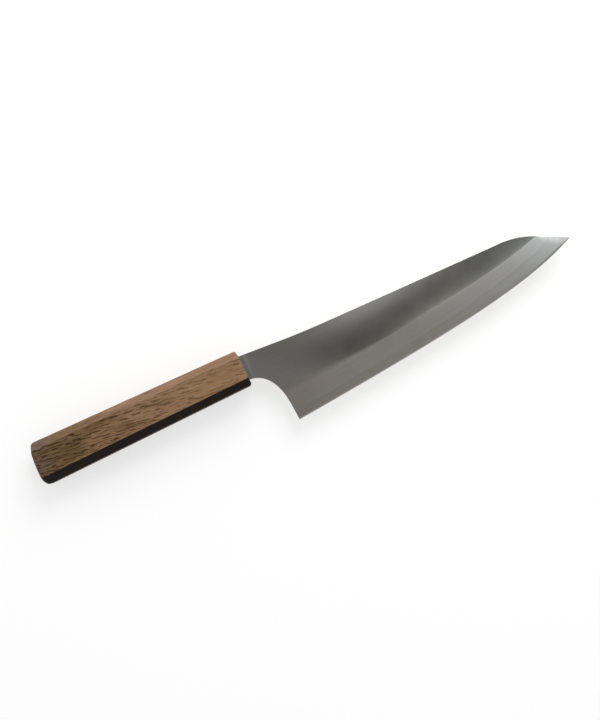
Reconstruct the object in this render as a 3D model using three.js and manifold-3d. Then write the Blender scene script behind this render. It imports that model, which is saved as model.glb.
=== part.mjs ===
// Kitchen knife of the gyuto pattern: a three-layer blade on a hidden tang in a one-piece octagonal handle.
// Millimetres. The knife lies on its left side: +X runs to the tip, +Y to the spine, +Z up out of the right face.
// The pieces are drawn with the handle's front face at x = 0, its axis on y = 0 and the blade's mid-plane on z = 0.

import * as THREE from 'three';
import { mergeVertices } from 'three/addons/utils/BufferGeometryUtils.js';
import Module from 'manifold-3d';

// Blade outline, seen from the right face
const BLADE_REACH = 226.5; // handle front to tip
const TIP_DROP = 13.4; // tip below the handle's axis
const HEEL_SETBACK = 18.2; // handle front to heel
const HEEL_DROP = 44.4; // heel below the handle's axis
const NECK_GAP = 2.7; // handle front to the shoulder where the full blade begins
const NECK_TOP = 8.2; // spine above the axis at the shoulder
const NECK_BOTTOM = 8.7; // underside of the neck below the axis at the shoulder

// Spine: a falling neck line, a soft bend, a nearly level back and a dropped nose
const BACK_BEND_AT = 43.4;
const BACK_BEND_HEIGHT = 4.84;
const BACK_BEND_RUN = 17.0; // half the length of the soft bend
const NOSE_LENGTH = 42.8; // end of the level back to the tip
const BACK_END_HEIGHT = 2.42;
const NOSE_BEND = [12.2, -0.22]; // control point, from the end of the back
const RUNOUT_LENGTH = 19.4; // where the ridge runs out on the nose, back from the tip
const RUNOUT_DROP = 3.3;
const NOSE_FALL = [9.8, -4.8]; // control point, from the ridge's run-out

// Cutting edge and ridge: each leaves its heel end and enters its tip end along a control point
const EDGE_FROM_HEEL = [115.3, 8.4];
const EDGE_TO_TIP = [-36.8, -16.3];
const RIDGE_START_SETBACK = 16.3; // ridge's heel end, on the back of the heel
const BEVEL_HEIGHT = 20.0; // cutting edge to ridge, at the heel
const RIDGE_FROM_HEEL = [87.6, 1.7];
const RIDGE_TO_TIP = [-23.7, -8.3];
const CHOIL_UPPER = [10.1, -2.2]; // control point, from the underside of the neck
const CHOIL_LOWER = [1.3, -5.0]; // control point, from the ridge's heel end

// Blade thickness
const SPINE_THICKNESS = 3.0; // at the shoulder
const RUNOUT_THICKNESS = 1.4; // where the ridge runs out
const EDGE_THICKNESS = 0.2;
const CORE_THICKNESS = 0.9; // hard middle layer

// Tang
const NECK_STEP = 0.3; // shoulder, all round, between the blade and its neck
const TANG_SHOULDER = 12.0; // length in the handle over which the neck narrows to the tang
const TANG_HEIGHT = 10.5; // behind the narrowing
const TANG_END_HEIGHT = 6.0;
const TANG_LENGTH = 90.0; // handle front to the tang's end
const TANG_OVERLAP = 3.0; // how far the tang's blank reaches into the blade's

// Handle
const HANDLE_LENGTH = 140.8;
const HANDLE_THICKNESS = 21.0;
const FRONT_HEIGHT = 23.5;
const BUTT_HEIGHT = 27.8;
const FRONT_CHAMFER = 4.5; // the four sloping facets are cut at 45 degrees
const BUTT_CHAMFER = 5.2;
const FRONT_ROUNDING = 1.4;
const BUTT_ROUNDING = 3.2;

// Liner, resin and seal
const FIT_GAP = 0.3; // glue line between neighbouring pieces
const RESIN_WALL = 0.8; // resin on each face of the tang
const RESIN_END = 3.0; // from the tang's end to the end of the liner's slot
const LINER_END = 5.0; // solid stub of the liner behind its slot
const SEAL_DEPTH = 2.5; // seal inside the mouth
const SEAL_PROUD = 0.4; // bead in front of the handle
const SEAL_WALL = 0.8; // above and below the neck
const SEAL_SIDE = 0.5; // on each face of the neck

// Fineness of the round stretches
const CURVE_STEPS = 10;
const BEVEL_STATIONS = 44;
const NOSE_STATIONS = 10;
const BEVEL_ROWS = 4;
const BORE_SIDES = 32;
const ROUNDING_STEPS = 4;
const HALVINGS = 40; // in the search for a curve's point at a given x

// Values that follow from the sizes above
const TANG_THICKNESS = SPINE_THICKNESS - 2 * NECK_STEP;
const SLOT_HALF = TANG_THICKNESS / 2 + RESIN_WALL;
const RESIN_HALF_HEIGHT = TANG_HEIGHT / 2 + FIT_GAP + RESIN_WALL;
const LINER_RADIUS = Math.hypot(RESIN_HALF_HEIGHT, SLOT_HALF);
const SLOT_DEPTH = TANG_LENGTH + RESIN_END;
const LINER_LENGTH = SLOT_DEPTH + LINER_END;
const STUB_TOP = NECK_TOP - NECK_STEP;
const STUB_BOTTOM = -(NECK_BOTTOM - NECK_STEP);
const MOUTH_CLEARANCE = SEAL_WALL + FIT_GAP;

const wasm = await Module();
wasm.setup();

const point = (x, y) => new THREE.Vector2(x, y);
const offset = (from, [dx, dy]) => point(from.x + dx, from.y + dy);

// Solid of a closed geometry, for joining and cutting
function solidOf(geometry) {
  const bare = geometry.clone();
  bare.deleteAttribute('normal');
  bare.deleteAttribute('uv');
  const welded = mergeVertices(bare);
  return new wasm.Manifold(new wasm.Mesh({
    numProp: 3,
    vertProperties: new Float32Array(welded.attributes.position.array),
    triVerts: new Uint32Array(welded.index.array),
  }));
}

// Geometry of a solid
function geometryOf(solid) {
  const mesh = solid.getMesh();
  const geometry = new THREE.BufferGeometry();
  geometry.setAttribute('position', new THREE.BufferAttribute(mesh.vertProperties, 3));
  geometry.setIndex(new THREE.BufferAttribute(mesh.triVerts, 1));
  geometry.computeVertexNormals();
  return geometry;
}

// Geometry of loose triangles, each three [x, y, z] corners
function geometryOfTriangles(triangles) {
  const geometry = new THREE.BufferGeometry();
  geometry.setAttribute('position', new THREE.Float32BufferAttribute(triangles.flat(2), 3));
  return geometry;
}

// Box between two corners
function boxBetween(low, high) {
  const size = high.map((value, axis) => value - low[axis]);
  const centre = high.map((value, axis) => (value + low[axis]) / 2);
  return solidOf(new THREE.BoxGeometry(...size).translate(...centre));
}

// Flat outline given a thickness, centred on the mid-plane
function plate(outline, thickness) {
  const geometry = new THREE.ExtrudeGeometry(new THREE.Shape(outline), { depth: thickness, bevelEnabled: false });
  return solidOf(geometry.translate(0, 0, -thickness / 2));
}

// Round bar along the handle's axis, from its front end back
function bar(radius, front, length) {
  const geometry = new THREE.CylinderGeometry(radius, radius, length, BORE_SIDES);
  return solidOf(geometry.rotateZ(Math.PI / 2).translate(front - length / 2, 0, 0));
}

// Point of a curve at a given x, for curves that run steadily along x
function pointAtX(curve, x) {
  let low = 0;
  let high = 1;
  for (let step = 0; step < HALVINGS; step += 1) {
    const middle = (low + high) / 2;
    if (curve.getPoint(middle).x < x) low = middle;
    else high = middle;
  }
  return point(x, curve.getPoint((low + high) / 2).y);
}

// Blade outline
const tip = point(BLADE_REACH, -TIP_DROP);
const heel = point(HEEL_SETBACK, -HEEL_DROP);
const neckTop = point(NECK_GAP, NECK_TOP);
const neckBottom = point(NECK_GAP, -NECK_BOTTOM);
const backBend = point(BACK_BEND_AT, BACK_BEND_HEIGHT);
const backEnd = point(BLADE_REACH - NOSE_LENGTH, BACK_END_HEIGHT);
const ridgeStart = point(RIDGE_START_SETBACK, BEVEL_HEIGHT - HEEL_DROP);
const ridgeEnd = point(BLADE_REACH - RUNOUT_LENGTH, -RUNOUT_DROP);

const edge = new THREE.CubicBezierCurve(heel, offset(heel, EDGE_FROM_HEEL), offset(tip, EDGE_TO_TIP), tip);
const ridge = new THREE.CubicBezierCurve(
  ridgeStart, offset(ridgeStart, RIDGE_FROM_HEEL), offset(ridgeEnd, RIDGE_TO_TIP), ridgeEnd);
const nose = new THREE.QuadraticBezierCurve(ridgeEnd, offset(ridgeEnd, NOSE_FALL), tip);
const choil = new THREE.QuadraticBezierCurve(neckBottom, offset(neckBottom, CHOIL_UPPER), ridgeStart);
const heelBack = new THREE.QuadraticBezierCurve(ridgeStart, offset(ridgeStart, CHOIL_LOWER), heel);

// Spine from the shoulder to the ridge's run-out
function spinePoints() {
  const towards = (target) => backBend.clone().lerp(target, BACK_BEND_RUN / backBend.distanceTo(target));
  const bendStart = towards(neckTop);
  const bendEnd = towards(backEnd);
  const noseBend = offset(backEnd, NOSE_BEND);
  const spine = new THREE.Path();
  spine.moveTo(neckTop.x, neckTop.y);
  spine.lineTo(bendStart.x, bendStart.y);
  spine.quadraticCurveTo(backBend.x, backBend.y, bendEnd.x, bendEnd.y);
  spine.lineTo(backEnd.x, backEnd.y);
  spine.quadraticCurveTo(noseBend.x, noseBend.y, ridgeEnd.x, ridgeEnd.y);
  return spine.getPoints(CURVE_STEPS);
}

// Half the thickness of the flats, which thin steadily from the shoulder to the ridge's run-out
function flatHalf(x) {
  const share = (x - NECK_GAP) / (ridgeEnd.x - NECK_GAP);
  return THREE.MathUtils.lerp(SPINE_THICKNESS, RUNOUT_THICKNESS, share) / 2;
}

// Half the thickness along the nose, from the ridge's run-out to the tip
function noseHalf(x) {
  const share = (x - ridgeEnd.x) / (tip.x - ridgeEnd.x);
  return THREE.MathUtils.lerp(RUNOUT_THICKNESS, EDGE_THICKNESS, share) / 2;
}

// Stations of the bevel: each is a row of [x, y, half thickness] from the ridge or nose down to the edge
function bevelStations() {
  const ruled = (top, bottom, topHalf) => Array.from({ length: BEVEL_ROWS + 1 }, (unused, row) => {
    const share = row / BEVEL_ROWS;
    const place = top.clone().lerp(bottom, share);
    return [place.x, place.y, THREE.MathUtils.lerp(topHalf, EDGE_THICKNESS / 2, share)];
  });
  const back = heelBack.getPoints(BEVEL_ROWS).map((place, row) => {
    const share = row / BEVEL_ROWS;
    return [place.x, place.y, THREE.MathUtils.lerp(flatHalf(ridgeStart.x), EDGE_THICKNESS / 2, share)];
  });
  const stations = [back];
  for (let i = 1; i <= BEVEL_STATIONS; i += 1) {
    const x = THREE.MathUtils.lerp(heel.x, ridgeEnd.x, i / BEVEL_STATIONS);
    stations.push(ruled(pointAtX(ridge, x), pointAtX(edge, x), flatHalf(x)));
  }
  for (let i = 1; i <= NOSE_STATIONS; i += 1) {
    const x = THREE.MathUtils.lerp(ridgeEnd.x, tip.x, i / NOSE_STATIONS);
    stations.push(ruled(pointAtX(nose, x), pointAtX(edge, x), noseHalf(x)));
  }
  return stations;
}

// The whole blade as one solid: two flats, two bevels and the narrow wall round the outline
function bladeBlank() {
  const stations = bevelStations();
  const ridgeRow = stations.slice(0, BEVEL_STATIONS + 1).map((station) => station[0]);
  const flatPoint = (place) => [place.x, place.y, flatHalf(place.x)];
  const spineRow = spinePoints().map(flatPoint);
  const choilRow = choil.getPoints(CURVE_STEPS).map(flatPoint);
  const last = stations.length - 1;

  // Right side, counter-clockwise seen from above
  const right = [];
  const flat = [...choilRow, ...ridgeRow.slice(1), ...spineRow.slice(0, -1).reverse()];
  const contour = flat.map(([x, y]) => point(x, y));
  for (const corners of THREE.ShapeUtils.triangulateShape(contour, [])) {
    right.push(corners.map((corner) => flat[corner]));
  }
  for (let i = 0; i < last; i += 1) {
    for (let row = 0; row < BEVEL_ROWS; row += 1) {
      const [a, b] = [stations[i][row], stations[i][row + 1]];
      const [c, d] = [stations[i + 1][row + 1], stations[i + 1][row]];
      right.push([a, b, c]);
      if (i + 1 < last) right.push([a, c, d]);
    }
  }

  // Outline, counter-clockwise: underside of the neck, back of the heel, edge, tip, nose and spine
  const outline = [
    ...choilRow,
    ...stations[0].slice(1),
    ...stations.slice(1).map((station) => station[BEVEL_ROWS]),
    ...stations.slice(BEVEL_STATIONS + 1, last).map((station) => station[0]).reverse(),
    ...[...spineRow].reverse(),
  ];
  const lower = ([x, y, half]) => [x, y, -half];
  const triangles = [...right];
  for (const [a, b, c] of right) triangles.push([lower(a), lower(c), lower(b)]);
  outline.forEach((a, i) => {
    const b = outline[(i + 1) % outline.length];
    triangles.push([lower(a), lower(b), b], [lower(a), b, a]);
  });
  return solidOf(geometryOfTriangles(triangles));
}

// Outline of the neck and tang, grown above and below by the given room
function tangOutline(room) {
  const front = NECK_GAP + TANG_OVERLAP;
  const half = TANG_HEIGHT / 2 + room;
  const endHalf = TANG_END_HEIGHT / 2 + room;
  const end = -(TANG_LENGTH + room);
  const neckEnd = -(SEAL_DEPTH + FIT_GAP);
  return [
    point(front, STUB_BOTTOM - room), point(front, STUB_TOP + room), point(neckEnd, STUB_TOP + room),
    point(-TANG_SHOULDER, half), point(end, endHalf), point(end, -endHalf),
    point(-TANG_SHOULDER, -half), point(neckEnd, STUB_BOTTOM - room),
  ];
}

// Slab of the blade's blank between two heights
function bladeLayer(blank, low, high) {
  const reach = BLADE_REACH + HANDLE_LENGTH;
  return blank.intersect(boxBetween([-reach, -reach, low], [reach, reach, high]));
}

// Ring of the handle's eight corners at x, with every facet moved inwards by inset
function handleRing(x, inset) {
  const share = -x / HANDLE_LENGTH;
  const height = THREE.MathUtils.lerp(FRONT_HEIGHT, BUTT_HEIGHT, share) / 2 - inset;
  const width = HANDLE_THICKNESS / 2 - inset;
  const chamfer = THREE.MathUtils.lerp(FRONT_CHAMFER, BUTT_CHAMFER, share) - inset * (2 - Math.SQRT2);
  const corners = [
    [height - chamfer, width], [height, width - chamfer], [height, chamfer - width], [height - chamfer, -width],
    [chamfer - height, -width], [-height, chamfer - width], [-height, width - chamfer], [chamfer - height, width],
  ];
  return corners.map(([y, z]) => [x, y, z]);
}

// Octagonal blank: rings from the front to the butt, with both end edges rounded
function handleBlank() {
  const rings = [];
  for (let step = 0; step <= ROUNDING_STEPS; step += 1) {
    const angle = (step / ROUNDING_STEPS) * (Math.PI / 2);
    rings.push(handleRing(-FRONT_ROUNDING * (1 - Math.cos(angle)), FRONT_ROUNDING * (1 - Math.sin(angle))));
  }
  for (let step = ROUNDING_STEPS; step >= 0; step -= 1) {
    const angle = (step / ROUNDING_STEPS) * (Math.PI / 2);
    const x = BUTT_ROUNDING * (1 - Math.cos(angle)) - HANDLE_LENGTH;
    rings.push(handleRing(x, BUTT_ROUNDING * (1 - Math.sin(angle))));
  }
  const triangles = [];
  const sides = rings[0].length;
  for (let i = 0; i + 1 < rings.length; i += 1) {
    for (let side = 0; side < sides; side += 1) {
      const next = (side + 1) % sides;
      const [a, b] = [rings[i][side], rings[i][next]];
      const [c, d] = [rings[i + 1][next], rings[i + 1][side]];
      triangles.push([a, b, c], [a, c, d]);
    }
  }
  const [front, butt] = [rings[0], rings.at(-1)];
  for (let side = 1; side + 1 < sides; side += 1) {
    triangles.push([front[0], front[side + 1], front[side]], [butt[0], butt[side], butt[side + 1]]);
  }
  return solidOf(geometryOfTriangles(triangles));
}

// Handle with its bore for the liner and its slotted mouth for the neck
function handleBody() {
  const bore = bar(LINER_RADIUS + FIT_GAP, FIT_GAP, LINER_LENGTH + 2 * FIT_GAP);
  const mouth = boxBetween(
    [-(TANG_SHOULDER + FIT_GAP), STUB_BOTTOM - MOUTH_CLEARANCE, -SLOT_HALF],
    [FIT_GAP, STUB_TOP + MOUTH_CLEARANCE, SLOT_HALF]);
  return handleBlank().subtract(bore).subtract(mouth);
}

// Dowel with a slot for the tang, open at the front
function tangLiner() {
  const slot = boxBetween([-SLOT_DEPTH, -2 * LINER_RADIUS, -SLOT_HALF], [FIT_GAP, 2 * LINER_RADIUS, SLOT_HALF]);
  return bar(LINER_RADIUS, 0, LINER_LENGTH).subtract(slot);
}

// Resin that fills the liner's slot round the tang
function tangAdhesive() {
  const filling = boxBetween(
    [-(SLOT_DEPTH - FIT_GAP), -RESIN_HALF_HEIGHT, -SLOT_HALF],
    [-(SEAL_DEPTH + FIT_GAP), RESIN_HALF_HEIGHT, SLOT_HALF]);
  return filling.subtract(plate(tangOutline(FIT_GAP), TANG_THICKNESS));
}

// Bead of resin that closes the mouth round the neck
function mouthSeal() {
  const side = TANG_THICKNESS / 2 + SEAL_SIDE;
  const bead = boxBetween(
    [-SEAL_DEPTH, STUB_BOTTOM - SEAL_WALL, -side], [SEAL_PROUD, STUB_TOP + SEAL_WALL, side]);
  const neck = boxBetween(
    [-SEAL_DEPTH - FIT_GAP, STUB_BOTTOM, -TANG_THICKNESS / 2],
    [SEAL_PROUD + FIT_GAP, STUB_TOP, TANG_THICKNESS / 2]);
  return bead.subtract(neck);
}

// Finishes
const finishes = {
  coreSteel: { color: 0x8b8d8a, roughness: 0.3, metalness: 1.0 },
  claddingSteel: { color: 0x9c9d99, roughness: 0.38, metalness: 1.0 },
  lacqueredOak: { color: 0x7c6046, roughness: 0.45, metalness: 0.0 },
  liner: { color: 0xcdb68c, roughness: 0.7, metalness: 0.0 },
  resin: { color: 0xb9a778, roughness: 0.4, metalness: 0.0 },
  seal: { color: 0x4a4f55, roughness: 0.5, metalness: 0.0 },
};

function piece(name, solid, finish) {
  const mesh = new THREE.Mesh(geometryOf(solid), new THREE.MeshStandardMaterial(finish));
  mesh.name = name;
  return mesh;
}

// Assembly
const bladeAndTang = bladeBlank().add(plate(tangOutline(0), TANG_THICKNESS));
const coreHalf = CORE_THICKNESS / 2;
const knife = new THREE.Group();
knife.add(
  piece('blade_core', bladeLayer(bladeAndTang, -coreHalf, coreHalf), finishes.coreSteel),
  piece('blade_cladding_right', bladeLayer(bladeAndTang, coreHalf, SPINE_THICKNESS), finishes.claddingSteel),
  piece('blade_cladding_left', bladeLayer(bladeAndTang, -SPINE_THICKNESS, -coreHalf), finishes.claddingSteel),
  piece('handle_body', handleBody(), finishes.lacqueredOak),
  piece('tang_liner', tangLiner(), finishes.liner),
  piece('tang_adhesive', tangAdhesive(), finishes.resin),
  piece('mouth_seal', mouthSeal(), finishes.seal),
);

// The knife stands with the middle of its footprint over the origin and its lowest face on z = 0
const extent = new THREE.Box3().setFromObject(knife);
const middle = extent.getCenter(new THREE.Vector3());
knife.position.set(-middle.x, -middle.y, -extent.min.z);

export default knife;
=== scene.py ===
"""Looks of a gyuto kitchen knife: a three-layer blade on a hidden tang in a lacquered octagonal oak handle.

Shapes are worked out in millimetres with the handle's front face at x = 0, its axis on y = 0 and the blade's
mid-plane on z = 0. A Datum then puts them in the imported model's own frame, in metres.
"""

import logging
import math
from dataclasses import dataclass, field
from enum import Enum
from functools import partial
from typing import Any, Callable

import bmesh
import bpy
import numpy as np
from mathutils import Matrix, Vector

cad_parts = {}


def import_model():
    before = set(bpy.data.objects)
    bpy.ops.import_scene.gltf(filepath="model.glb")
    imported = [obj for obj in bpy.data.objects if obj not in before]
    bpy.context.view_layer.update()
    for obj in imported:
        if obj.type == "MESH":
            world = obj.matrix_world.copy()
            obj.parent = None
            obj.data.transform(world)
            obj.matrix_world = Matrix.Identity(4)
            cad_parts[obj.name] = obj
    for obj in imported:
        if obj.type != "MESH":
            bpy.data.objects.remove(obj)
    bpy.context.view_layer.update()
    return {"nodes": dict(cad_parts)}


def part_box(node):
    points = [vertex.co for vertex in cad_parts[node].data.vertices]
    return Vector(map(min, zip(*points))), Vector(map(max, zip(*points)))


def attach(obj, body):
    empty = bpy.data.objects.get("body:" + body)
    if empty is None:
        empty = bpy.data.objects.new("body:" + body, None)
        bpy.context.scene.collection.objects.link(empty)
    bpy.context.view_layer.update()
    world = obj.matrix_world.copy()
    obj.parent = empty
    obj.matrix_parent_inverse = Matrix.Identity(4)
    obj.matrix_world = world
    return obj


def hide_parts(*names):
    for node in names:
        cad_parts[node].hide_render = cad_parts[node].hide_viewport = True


Array = np.ndarray
Pair = tuple[float, float]
Triple = tuple[float, float, float]
Line = tuple[Pair, ...]
Socket = bpy.types.NodeSocket
Adder = Callable[..., Socket]  # adds a node to one tree, as add does
Look = tuple[dict[str, Any], Socket]

LOG = logging.getLogger("gyuto")
MM = 0.001
WELD_MM = 1e-4  # spots are told apart in steps of this size
TINY = 1e-6  # keeps a length that may vanish from dividing by nothing
CREASE = math.radians(32.0)
FLATTEN = 1e6  # scale that takes a direction's height out of a pattern
SLOPE_CUT = 0.3  # how plainly the handle's sloping facets cut across the oak's dashes
NOISE_ROUGHNESS = 0.55
FEW_LAYERS, LAYERS, MANY_LAYERS = 1.0, 2.0, 3.0  # finer layers of noise, which make it more ragged
WAVE_TURN = 20.0  # radians that a Wave texture turns for each unit
CURVE_POINTS = 400  # close enough to read heights from an outline's curve

# Places of the factor and the two colours among a Mix node's inputs, and settings that many nodes share
FACTOR, UNDER, OVER = 0, 6, 7
MIX = {"data_type": "RGBA"}
TINT = {"data_type": "RGBA", "blend_type": "MULTIPLY"}
SMOOTH = {"interpolation_type": "SMOOTHSTEP"}
NOISE = {"From Min": 0.3, "From Max": 0.7}  # values between which noise mostly lies


class Side(Enum):
    """Face of the blade: the right one looks up as the knife lies."""

    RIGHT = 1.0
    LEFT = -1.0


class Facet(Enum):
    """Facets of the handle in order round it: place, cut across the oak's dashes, whether it is black."""

    TOP = (0, 0.5, False)
    UPPER_RIGHT = (1, SLOPE_CUT, False)
    RIGHT = (2, 1.0, False)
    LOWER_RIGHT = (3, 0.0, True)
    BOTTOM = (4, 0.0, True)
    LOWER_LEFT = (5, 0.0, True)
    LEFT = (6, 1.0, False)
    UPPER_LEFT = (7, SLOPE_CUT, False)

    def __init__(self, _place: int, cut: float, black: bool) -> None:
        """Keeps the facet's cut and whether it is lacquered black. Its place only tells it apart."""
        self.cut, self.black = cut, black


def linear(colour: str) -> tuple[float, float, float, float]:
    """Turns an sRGB hex colour into linear values.

    Args:
        colour: six hex digits after a number sign.

    Returns:
        Red, green, blue and a full alpha.
    """
    parts = [int(colour[i:i + 2], 16) / 255.0 for i in (1, 3, 5)]
    red, green, blue = (p / 12.92 if p <= 0.04045 else ((p + 0.055) / 1.055) ** 2.4 for p in parts)
    return red, green, blue, 1.0


def add(
    tree: bpy.types.NodeTree, kind: str, sockets: dict[Any, Any] | None = None, out: str = "",
    **settings: Any,
) -> Socket | None:
    """Adds a node to a tree.

    Args:
        tree: node tree that takes the node.
        kind: the node's type, without the prefix that all of them share.
        sockets: values, hex colours and links for its inputs, by name or number.
        out: the output that is wanted, if it isn't the first one in use.
        settings: the node's own properties.

    Returns:
        The output, if the node has any.
    """
    made = tree.nodes.new("ShaderNode" + kind)
    for name, value in settings.items():
        setattr(made, name, value)
    for name, value in (sockets or {}).items():
        if isinstance(value, Socket):
            tree.links.new(value, made.inputs[name])
        else:
            made.inputs[name].default_value = linear(value) if isinstance(value, str) else value
    return made.outputs[out] if out else next((o for o in made.outputs if o.enabled), None)


def cleared(block: bpy.types.Material | bpy.types.World) -> Adder:
    """Clears the nodes of a new material or world.

    Args:
        block: the material or world.

    Returns:
        What adds nodes to it.
    """
    block.use_nodes = True
    block.node_tree.nodes.clear()
    return partial(add, block.node_tree)


def limits(end: str, pair: tuple[Any, Any]) -> dict[str, Any]:
    """Names a range's two limits as sockets do, at the From or the To end."""
    return {end + " Min": pair[0], end + " Max": pair[1]}


def grain(node: Adder, vector: Socket, size: Pair, detail: float = LAYERS) -> Socket:
    """Adds noise that is drawn out along x.

    Args:
        node: adds a node to the tree.
        vector: coordinates that it reads.
        size: length and width of its marks, in the vector's unit.
        detail: how many finer layers it has.

    Returns:
        The noise.
    """
    length, width = size
    drawn = node("Mapping", {"Vector": vector, "Scale": (1.0 / length, 1.0 / width, 1.0 / width)})
    return node("TexNoise", {"Vector": drawn, "Scale": 1.0, "Detail": detail, "Roughness": NOISE_ROUGHNESS})


def wave_scale(pitch: float) -> float:
    """Scale that gives a Wave texture a pitch: a whole turn over the texture's own turn and the pitch."""
    return math.tau / WAVE_TURN / pitch


def bezier(*controls: Pair, steps: int = CURVE_POINTS) -> Array:
    """Points of a Bezier curve: the controls' sum, each weighted by its Bernstein polynomial.

    Args:
        controls: control points from the start to the end.
        steps: number of points.

    Returns:
        Array of points, one in each row.
    """
    share = np.linspace(0.0, 1.0, steps)[:, None]
    last = len(controls) - 1
    weights = (math.comb(last, k) * share**k * (1.0 - share) ** (last - k) for k in range(last + 1))
    return sum(weight * np.array(control) for weight, control in zip(weights, controls))


def height_at(line: Array, x: Array) -> Array:
    """Reads the height of a line that runs steadily along x."""
    return np.interp(x, line[:, 0], line[:, 1])


def above(line: Array, x: Array, y: Array) -> Array:
    """Distance above a line that runs along x: the way to it along y times the cosine of its slope."""
    slope = np.interp(x, line[:, 0], np.gradient(line[:, 1], line[:, 0]))
    return (y - height_at(line, x)) / np.sqrt(1.0 + slope**2)


def soft_step(value: Array, low: float, high: float) -> Array:
    """Rises smoothly from 0 at low to 1 at high: three squares less two cubes of the share between."""
    share = np.clip((value - low) / (high - low), 0.0, 1.0)
    return share * share * (3.0 - 2.0 * share)


@dataclass
class Sheet:
    """A surface of points joined by triangles.

    Attributes:
        points: one point in each row, in millimetres.
        faces: three point numbers in each row.
        finish: material number of each face.
        marks: named values for each point, single or in threes.
    """

    points: Array
    faces: Array
    finish: Array
    marks: dict[str, Array] = field(default_factory=dict)

    @classmethod
    def from_grid(cls, grid: Array, closed: bool = False, marks: dict[str, Array] | None = None) -> "Sheet":
        """Joins a grid of points: each cell between two rows and two columns becomes two triangles.

        Args:
            grid: array of rows, columns and coordinates.
            closed: whether the last column joins the first.
            marks: named values for each grid point.

        Returns:
            The joined sheet.
        """
        rows, columns = grid.shape[:2]
        number = np.arange(rows * columns).reshape(rows, columns)
        if closed:
            number = np.hstack([number, number[:, :1]])
        a, b, c, d = number[:-1, :-1], number[1:, :-1], number[1:, 1:], number[:-1, 1:]
        faces = np.stack([a, b, c, a, c, d], axis=-1).reshape(-1, 3)
        flat = {name: value.reshape(rows * columns, -1).squeeze() for name, value in (marks or {}).items()}
        return cls(grid.reshape(-1, 3), faces, np.zeros(len(faces), int), flat)

    def joined(self, other: "Sheet") -> "Sheet":
        """Puts two sheets with the same marks into one."""
        return Sheet(
            np.vstack([self.points, other.points]),
            np.vstack([self.faces, other.faces + len(self.points)]),
            np.concatenate([self.finish, other.finish]),
            {name: np.concatenate([value, other.marks[name]]) for name, value in self.marks.items()},
        )

    def welded(self) -> "Sheet":
        """Makes points on one spot a single point, and leaves out what then has no area or lies on its twin.

        Returns:
            The welded sheet, whose marks come from the first point on each spot.
        """
        spots = np.round(self.points / WELD_MM).astype(np.int64)
        _, first, number = np.unique(spots, axis=0, return_index=True, return_inverse=True)
        faces = number.reshape(-1)[self.faces]
        corners = np.sort(faces, axis=1)
        whole = (corners[:, 0] != corners[:, 1]) & (corners[:, 1] != corners[:, 2])
        _, twin, uses = np.unique(corners, axis=0, return_inverse=True, return_counts=True)
        kept = whole & (uses[twin.reshape(-1)] == 1)
        used, faces = np.unique(faces[kept], return_inverse=True)
        first = first[used]
        marks = {name: value[first] for name, value in self.marks.items()}
        return Sheet(self.points[first], faces.reshape(-1, 3), self.finish[kept], marks)

    def shell(self, under: Array) -> "Sheet":
        """Closes the space between this welded sheet and a second layer of the same points.

        The second layer's faces are turned over, and a wall stands on each edge that only one face uses.

        Args:
            under: the second layer's points.

        Returns:
            The closed sheet.
        """
        count = len(self.points)
        starts = self.faces.reshape(-1)
        ends = np.roll(self.faces, -1, axis=1).reshape(-1)
        key = np.minimum(starts, ends) * count + np.maximum(starts, ends)
        _, place, uses = np.unique(key, return_inverse=True, return_counts=True)
        lone = uses[place.reshape(-1)] == 1
        owner = np.repeat(np.arange(len(self.faces)), 3)[lone]
        starts, ends = starts[lone], ends[lone]
        walls = np.stack([ends, starts, starts + count, ends, starts + count, ends + count], axis=-1)
        return Sheet(
            np.vstack([self.points, under]),
            np.vstack([self.faces, self.faces[:, ::-1] + count, walls.reshape(-1, 3)]),
            np.concatenate([self.finish, self.finish, np.repeat(self.finish[owner], 2)]),
            {name: np.concatenate([value, value]) for name, value in self.marks.items()},
        ).welded()


@dataclass(frozen=True)
class Datum:
    """Where the handle's front face, axis and the blade's mid-plane lie in the model's frame, in metres."""

    front: float
    axis: float
    middle: float

    @classmethod
    def from_frame(cls) -> "Datum":
        """Takes the datum from the box of the handle's own solid."""
        low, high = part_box("handle_body")
        return cls(high[0], (low[1] + high[1]) / 2.0, (low[2] + high[2]) / 2.0)

    def place(self, points: Array) -> Array:
        """Puts points in millimetres into the model's frame, in metres."""
        return points * MM + np.array([self.front, self.axis, self.middle])


@dataclass
class Piece:
    """A visible piece of the knife, and what it stands for.

    Attributes:
        name: the object's name.
        sheet: its closed surface.
        finishes: its materials, in the order of the sheet's material numbers.
        node: the solid that it replaces.
        slot: name of a material slot, which is not used.
    """

    name: str
    sheet: Sheet
    finishes: list[bpy.types.Material]
    node: str
    slot: str

    def put(self, datum: Datum) -> None:
        """Makes the mesh, joins its seams, turns its faces outwards and hands it to the frame.

        Args:
            datum: where the knife lies.
        """
        sheet = self.sheet.welded()
        mesh = bpy.data.meshes.new(self.name)
        mesh.from_pydata(datum.place(sheet.points), [], sheet.faces)
        mesh.polygons.foreach_set("material_index", sheet.finish.astype(np.int32))
        for name, value in sheet.marks.items():
            single = value.ndim == 1
            mark = mesh.attributes.new(name, "FLOAT" if single else "FLOAT_VECTOR", "POINT")
            mark.data.foreach_set("value" if single else "vector", value.astype(np.float32).reshape(-1))
        work = bmesh.new()
        work.from_mesh(mesh)
        bmesh.ops.recalc_face_normals(work, faces=work.faces)
        work.to_mesh(mesh)
        work.free()
        mesh.polygons.foreach_set("use_smooth", np.ones(len(mesh.polygons), bool))
        mesh.set_sharp_from_angle(angle=CREASE)
        for finish in self.finishes:
            mesh.materials.append(finish)
        piece = bpy.data.objects.new(self.name, mesh)
        bpy.context.scene.collection.objects.link(piece)
        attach(piece, "root")
        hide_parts(self.node)
        LOG.info("%s: %d faces, stands for %s", self.name, len(mesh.polygons), self.node)


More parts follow.
